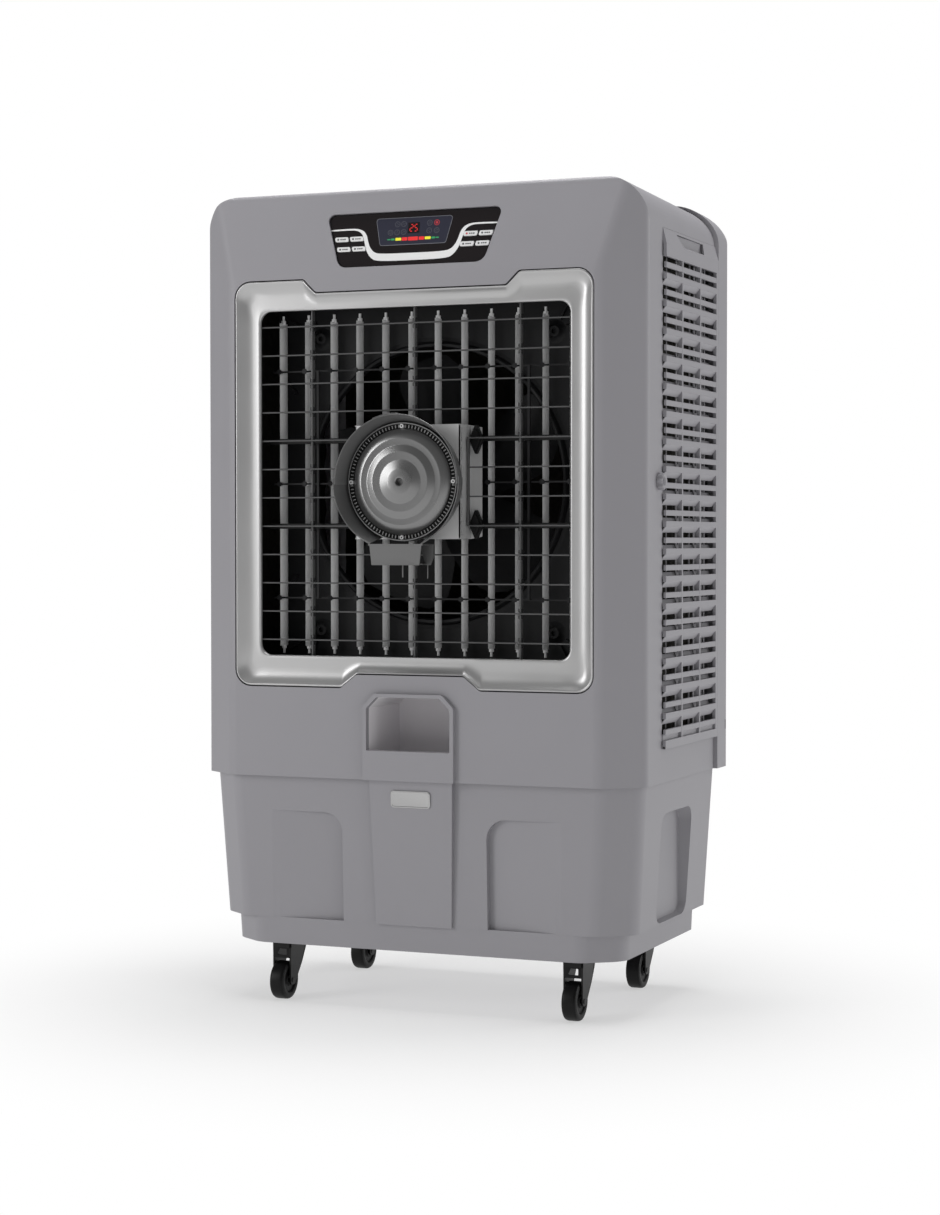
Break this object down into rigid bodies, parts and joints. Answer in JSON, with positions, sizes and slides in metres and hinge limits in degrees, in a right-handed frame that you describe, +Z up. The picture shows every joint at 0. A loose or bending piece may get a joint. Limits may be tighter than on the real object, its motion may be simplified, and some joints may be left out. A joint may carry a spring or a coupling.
{
  "type": "evaporative cooler",
  "caption": "Tall portable evaporative cooler: louvred air outlet with a central fan motor, side and rear cooling pads, water tank below, on casters.",
  "frame": {"origin": "on the floor under the middle of the bounding box", "axes": "+Z up, -Y to the front where the air leaves, +X to the right as seen from the front"},
  "size_m": [0.826, 0.544, 1.389],
  "materials": {
    "grey_plastic": "fine-grained warm grey moulding",
    "dark_plastic": "plain inner moulding",
    "silver_trim": "satin silver paint",
    "black_plastic": "matt black moulding",
    "panel_black": "high gloss black",
    "key_white": "plain white key tops",
    "blade_grey": "light grey moulding",
    "pressed_steel": "pressed steel, grey",
    "zinc_plate": "zinc-plated sheet",
    "black_steel": "black powder coat",
    "caster_black": "black moulded fork",
    "wheel_rubber": "black tread",
    "cellulose": "corrugated cooling paper",
    "hose_rubber": "smooth black hose",
    "float_plastic": "off-white foam float"
  },
  "bodies": {
    "cabinet": {"front_shell": "grey_plastic", "rear_shell": "grey_plastic", "deck": "dark_plastic", "bezel": "silver_trim", "outlet_guard": "black_plastic", "control_panel": "panel_black", "tank": "grey_plastic", "name_plate": "silver_trim", "cooling_pad_left": "cellulose", "cooling_pad_right": "cellulose", "cooling_pad_rear": "cellulose", "fill_chute": "grey_plastic", "water_pump": "black_plastic", "riser_hose": "hose_rubber", "water_channel": "dark_plastic", "float_valve": "black_plastic", "cord_gland": "black_plastic", "fan_plate": "black_plastic", "fan_motor": "pressed_steel", "motor_cowl": "pressed_steel", "motor_bracket": "zinc_plate", "motor_strut_lower": "black_steel", "motor_strut_upper": "black_steel"},
    "fan": {"fan_impeller": "black_plastic"},
    "side_panel_left": {"side_panel_left": "grey_plastic"},
    "side_panel_right": {"side_panel_right": "grey_plastic"},
    "rear_panel": {"rear_panel": "grey_plastic"},
    "knob_left": {"panel_knob_left": "grey_plastic"},
    "knob_right": {"panel_knob_right": "grey_plastic"},
    "float_arm": {"float_arm": "float_plastic"},
    "drain_plug": {"drain_plug": "black_plastic"},
    "key_1": {"key_1": "key_white"},
    "key_2": {"key_2": "key_white"},
    "key_3": {"key_3": "key_white"},
    "key_4": {"key_4": "key_white"},
    "key_5": {"key_5": "key_white"},
    "key_6": {"key_6": "key_white"},
    "key_7": {"key_7": "key_white"},
    "key_8": {"key_8": "key_white"},
    "blade_1": {"louvre_blade_1": "blade_grey"},
    "blade_2": {"louvre_blade_2": "blade_grey"},
    "blade_3": {"louvre_blade_3": "blade_grey"},
    "blade_4": {"louvre_blade_4": "blade_grey"},
    "blade_5": {"louvre_blade_5": "blade_grey"},
    "blade_6": {"louvre_blade_6": "blade_grey"},
    "blade_7": {"louvre_blade_7": "blade_grey"},
    "blade_8": {"louvre_blade_8": "blade_grey"},
    "blade_9": {"louvre_blade_9": "blade_grey"},
    "blade_10": {"louvre_blade_10": "blade_grey"},
    "blade_11": {"louvre_blade_11": "blade_grey"},
    "blade_12": {"louvre_blade_12": "blade_grey"},
    "louvre_link": {"louvre_link": "black_plastic"},
    "caster_front_left": {"caster_fork_front_left": "caster_black"},
    "wheel_front_left": {"caster_wheel_front_left": "wheel_rubber"},
    "caster_front_right": {"caster_fork_front_right": "caster_black"},
    "wheel_front_right": {"caster_wheel_front_right": "wheel_rubber"},
    "caster_rear_left": {"caster_fork_rear_left": "caster_black"},
    "wheel_rear_left": {"caster_wheel_rear_left": "wheel_rubber"},
    "caster_rear_right": {"caster_fork_rear_right": "caster_black"},
    "wheel_rear_right": {"caster_wheel_rear_right": "wheel_rubber"}
  },
  "joints": [
    {"name": "fan_spin", "type": "hinge", "parent": "cabinet", "child": "fan", "pos_m": [0, -0.052, 0.895], "axis": [0, 1, 0], "continuous": true},
    {"name": "side_panel_left_off", "type": "slide", "parent": "cabinet", "child": "side_panel_left", "axis": [-1, 0, 0], "range_m": [0, 0.06]},
    {"name": "knob_left_turn", "type": "hinge", "parent": "cabinet", "child": "knob_left", "pos_m": [-0.405, -0.108, 0.895], "axis": [-1, 0, 0], "range_deg": [0, 90]},
    {"name": "side_panel_right_off", "type": "slide", "parent": "cabinet", "child": "side_panel_right", "axis": [1, 0, 0], "range_m": [0, 0.06]},
    {"name": "knob_right_turn", "type": "hinge", "parent": "cabinet", "child": "knob_right", "pos_m": [0.405, -0.108, 0.895], "axis": [1, 0, 0], "range_deg": [0, 90]},
    {"name": "rear_panel_off", "type": "slide", "parent": "cabinet", "child": "rear_panel", "axis": [0, 1, 0], "range_m": [0, 0.06]},
    {"name": "drain_plug_out", "type": "slide", "parent": "cabinet", "child": "drain_plug", "axis": [0, 1, 0], "range_m": [0, 0.06]},
    {"name": "float_swing", "type": "hinge", "parent": "cabinet", "child": "float_arm", "pos_m": [-0.23, 0.18, 0.352], "axis": [1, 0, 0], "range_deg": [-8, 50]},
    {"name": "key_1_press", "type": "slide", "parent": "cabinet", "child": "key_1", "axis": [0, 0.9806, -0.1961], "range_m": [0, 0.0008], "stiffness_N_per_m": 400},
    {"name": "key_2_press", "type": "slide", "parent": "cabinet", "child": "key_2", "axis": [0, 0.9806, -0.1961], "range_m": [0, 0.0008], "stiffness_N_per_m": 400},
    {"name": "key_3_press", "type": "slide", "parent": "cabinet", "child": "key_3", "axis": [0, 0.9806, -0.1961], "range_m": [0, 0.0008], "stiffness_N_per_m": 400},
    {"name": "key_4_press", "type": "slide", "parent": "cabinet", "child": "key_4", "axis": [0, 0.9806, -0.1961], "range_m": [0, 0.0008], "stiffness_N_per_m": 400},
    {"name": "key_5_press", "type": "slide", "parent": "cabinet", "child": "key_5", "axis": [0, 0.9806, -0.1961], "range_m": [0, 0.0008], "stiffness_N_per_m": 400},
    {"name": "key_6_press", "type": "slide", "parent": "cabinet", "child": "key_6", "axis": [0, 0.9806, -0.1961], "range_m": [0, 0.0008], "stiffness_N_per_m": 400},
    {"name": "key_7_press", "type": "slide", "parent": "cabinet", "child": "key_7", "axis": [0, 0.9806, -0.1961], "range_m": [0, 0.0008], "stiffness_N_per_m": 400},
    {"name": "key_8_press", "type": "slide", "parent": "cabinet", "child": "key_8", "axis": [0, 0.9806, -0.1961], "range_m": [0, 0.0008], "stiffness_N_per_m": 400},
    {"name": "blade_6_swing", "type": "hinge", "parent": "cabinet", "child": "blade_6", "pos_m": [-0.0242, -0.146, 0.894], "axis": [0, 0, 1], "range_deg": [-35, 35]},
    {"name": "blade_1_swing", "type": "hinge", "parent": "cabinet", "child": "blade_1", "pos_m": [-0.2662, -0.146, 0.894], "axis": [0, 0, 1], "range_deg": [-35, 35]},
    {"name": "blade_2_swing", "type": "hinge", "parent": "cabinet", "child": "blade_2", "pos_m": [-0.2178, -0.146, 0.894], "axis": [0, 0, 1], "range_deg": [-35, 35]},
    {"name": "blade_3_swing", "type": "hinge", "parent": "cabinet", "child": "blade_3", "pos_m": [-0.1694, -0.146, 0.894], "axis": [0, 0, 1], "range_deg": [-35, 35]},
    {"name": "blade_4_swing", "type": "hinge", "parent": "cabinet", "child": "blade_4", "pos_m": [-0.121, -0.146, 0.894], "axis": [0, 0, 1], "range_deg": [-35, 35]},
    {"name": "blade_5_swing", "type": "hinge", "parent": "cabinet", "child": "blade_5", "pos_m": [-0.0726, -0.146, 0.894], "axis": [0, 0, 1], "range_deg": [-35, 35]},
    {"name": "blade_7_swing", "type": "hinge", "parent": "cabinet", "child": "blade_7", "pos_m": [0.0242, -0.146, 0.894], "axis": [0, 0, 1], "range_deg": [-35, 35]},
    {"name": "blade_8_swing", "type": "hinge", "parent": "cabinet", "child": "blade_8", "pos_m": [0.0726, -0.146, 0.894], "axis": [0, 0, 1], "range_deg": [-35, 35]},
    {"name": "blade_9_swing", "type": "hinge", "parent": "cabinet", "child": "blade_9", "pos_m": [0.121, -0.146, 0.894], "axis": [0, 0, 1], "range_deg": [-35, 35]},
    {"name": "blade_10_swing", "type": "hinge", "parent": "cabinet", "child": "blade_10", "pos_m": [0.1694, -0.146, 0.894], "axis": [0, 0, 1], "range_deg": [-35, 35]},
    {"name": "blade_11_swing", "type": "hinge", "parent": "cabinet", "child": "blade_11", "pos_m": [0.2178, -0.146, 0.894], "axis": [0, 0, 1], "range_deg": [-35, 35]},
    {"name": "blade_12_swing", "type": "hinge", "parent": "cabinet", "child": "blade_12", "pos_m": [0.2662, -0.146, 0.894], "axis": [0, 0, 1], "range_deg": [-35, 35]},
    {"name": "link_swing", "type": "hinge", "parent": "blade_6", "child": "louvre_link", "pos_m": [-0.0242, -0.159, 0.894], "axis": [0, 0, 1], "range_deg": [-35, 35]},
    {"name": "swivel_front_left", "type": "hinge", "parent": "cabinet", "child": "caster_front_left", "pos_m": [-0.269, -0.121, 0.1], "axis": [0, 0, 1], "continuous": true},
    {"name": "roll_front_left", "type": "hinge", "parent": "caster_front_left", "child": "wheel_front_left", "pos_m": [-0.269, -0.144, 0.033], "axis": [1, 0, 0], "continuous": true},
    {"name": "swivel_front_right", "type": "hinge", "parent": "cabinet", "child": "caster_front_right", "pos_m": [0.269, -0.121, 0.1], "axis": [0, 0, 1], "continuous": true},
    {"name": "roll_front_right", "type": "hinge", "parent": "caster_front_right", "child": "wheel_front_right", "pos_m": [0.269, -0.144, 0.033], "axis": [1, 0, 0], "continuous": true},
    {"name": "swivel_rear_left", "type": "hinge", "parent": "cabinet", "child": "caster_rear_left", "pos_m": [-0.269, 0.211, 0.1], "axis": [0, 0, 1], "continuous": true},
    {"name": "roll_rear_left", "type": "hinge", "parent": "caster_rear_left", "child": "wheel_rear_left", "pos_m": [-0.269, 0.188, 0.033], "axis": [1, 0, 0], "continuous": true},
    {"name": "swivel_rear_right", "type": "hinge", "parent": "cabinet", "child": "caster_rear_right", "pos_m": [0.269, 0.211, 0.1], "axis": [0, 0, 1], "continuous": true},
    {"name": "roll_rear_right", "type": "hinge", "parent": "caster_rear_right", "child": "wheel_rear_right", "pos_m": [0.269, 0.188, 0.033], "axis": [1, 0, 0], "continuous": true}
  ],
  "couplings": [
    {"joint": "blade_1_swing", "follows": "blade_6_swing", "ratio": 1},
    {"joint": "blade_2_swing", "follows": "blade_6_swing", "ratio": 1},
    {"joint": "blade_3_swing", "follows": "blade_6_swing", "ratio": 1},
    {"joint": "blade_4_swing", "follows": "blade_6_swing", "ratio": 1},
    {"joint": "blade_5_swing", "follows": "blade_6_swing", "ratio": 1},
    {"joint": "blade_7_swing", "follows": "blade_6_swing", "ratio": 1},
    {"joint": "blade_8_swing", "follows": "blade_6_swing", "ratio": 1},
    {"joint": "blade_9_swing", "follows": "blade_6_swing", "ratio": 1},
    {"joint": "blade_10_swing", "follows": "blade_6_swing", "ratio": 1},
    {"joint": "blade_11_swing", "follows": "blade_6_swing", "ratio": 1},
    {"joint": "blade_12_swing", "follows": "blade_6_swing", "ratio": 1},
    {"joint": "link_swing", "follows": "blade_6_swing", "ratio": -1}
  ]
}
